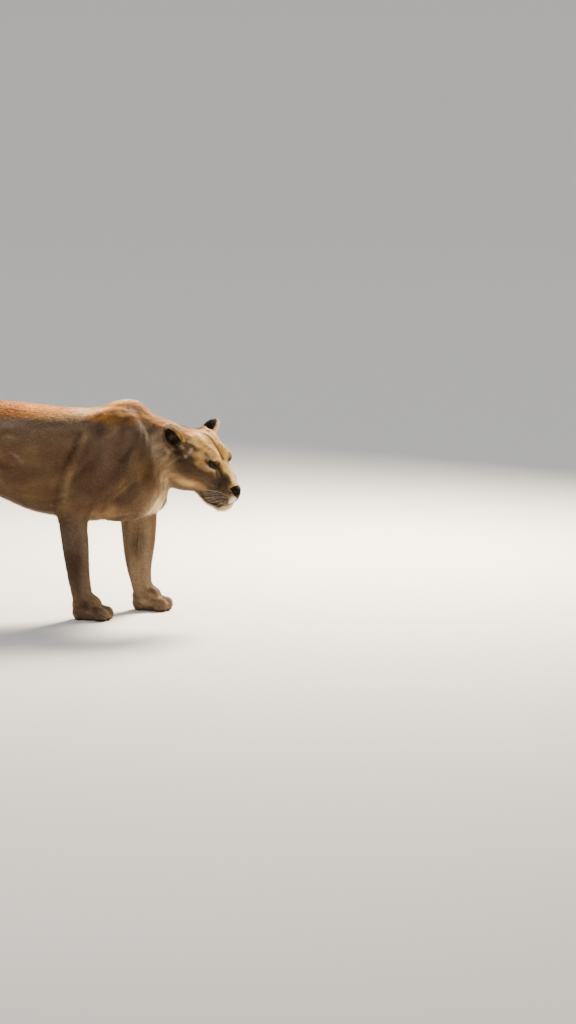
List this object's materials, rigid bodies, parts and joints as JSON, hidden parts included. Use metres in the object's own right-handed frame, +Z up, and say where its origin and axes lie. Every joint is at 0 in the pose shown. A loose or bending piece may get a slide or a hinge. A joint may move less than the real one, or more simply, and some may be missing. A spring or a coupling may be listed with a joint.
{
  "type": "life-size lioness model",
  "caption": "Still, life-size lioness standing in mid-stride, head low and turned to her right, tail hanging; for a museum group, a film set or a scene.",
  "frame": {"origin": "the middle of the bounding box in plan, on the floor under the paws", "axes": "+X is the way she walks, from tail to chest; +Y is to her left; +Z is up"},
  "size_m": [1.7846, 0.3904, 0.9174],
  "materials": {
    "coat": "short tawny fur",
    "pale_coat": "pale fur",
    "dark_coat": "near-black fur",
    "eye": "wet, amber",
    "nose_leather": "bare, slightly damp"
  },
  "bodies": {
    "root": {"trunk": "coat", "neck": "coat", "head": "coat", "jaw": "pale_coat", "nose": "nose_leather", "ear_left": "coat", "ear_right": "coat", "eye_left": "eye", "eye_right": "eye", "upper_foreleg_left": "coat", "upper_foreleg_right": "coat", "lower_foreleg_left": "coat", "lower_foreleg_right": "coat", "forepaw_left": "coat", "forepaw_right": "coat", "thigh_left": "coat", "thigh_right": "coat", "shank_left": "coat", "shank_right": "coat", "hindpaw_left": "coat", "hindpaw_right": "coat", "tail_base": "coat", "tail_middle": "coat", "tail_tip": "dark_coat"}
  },
  "joints": []
}
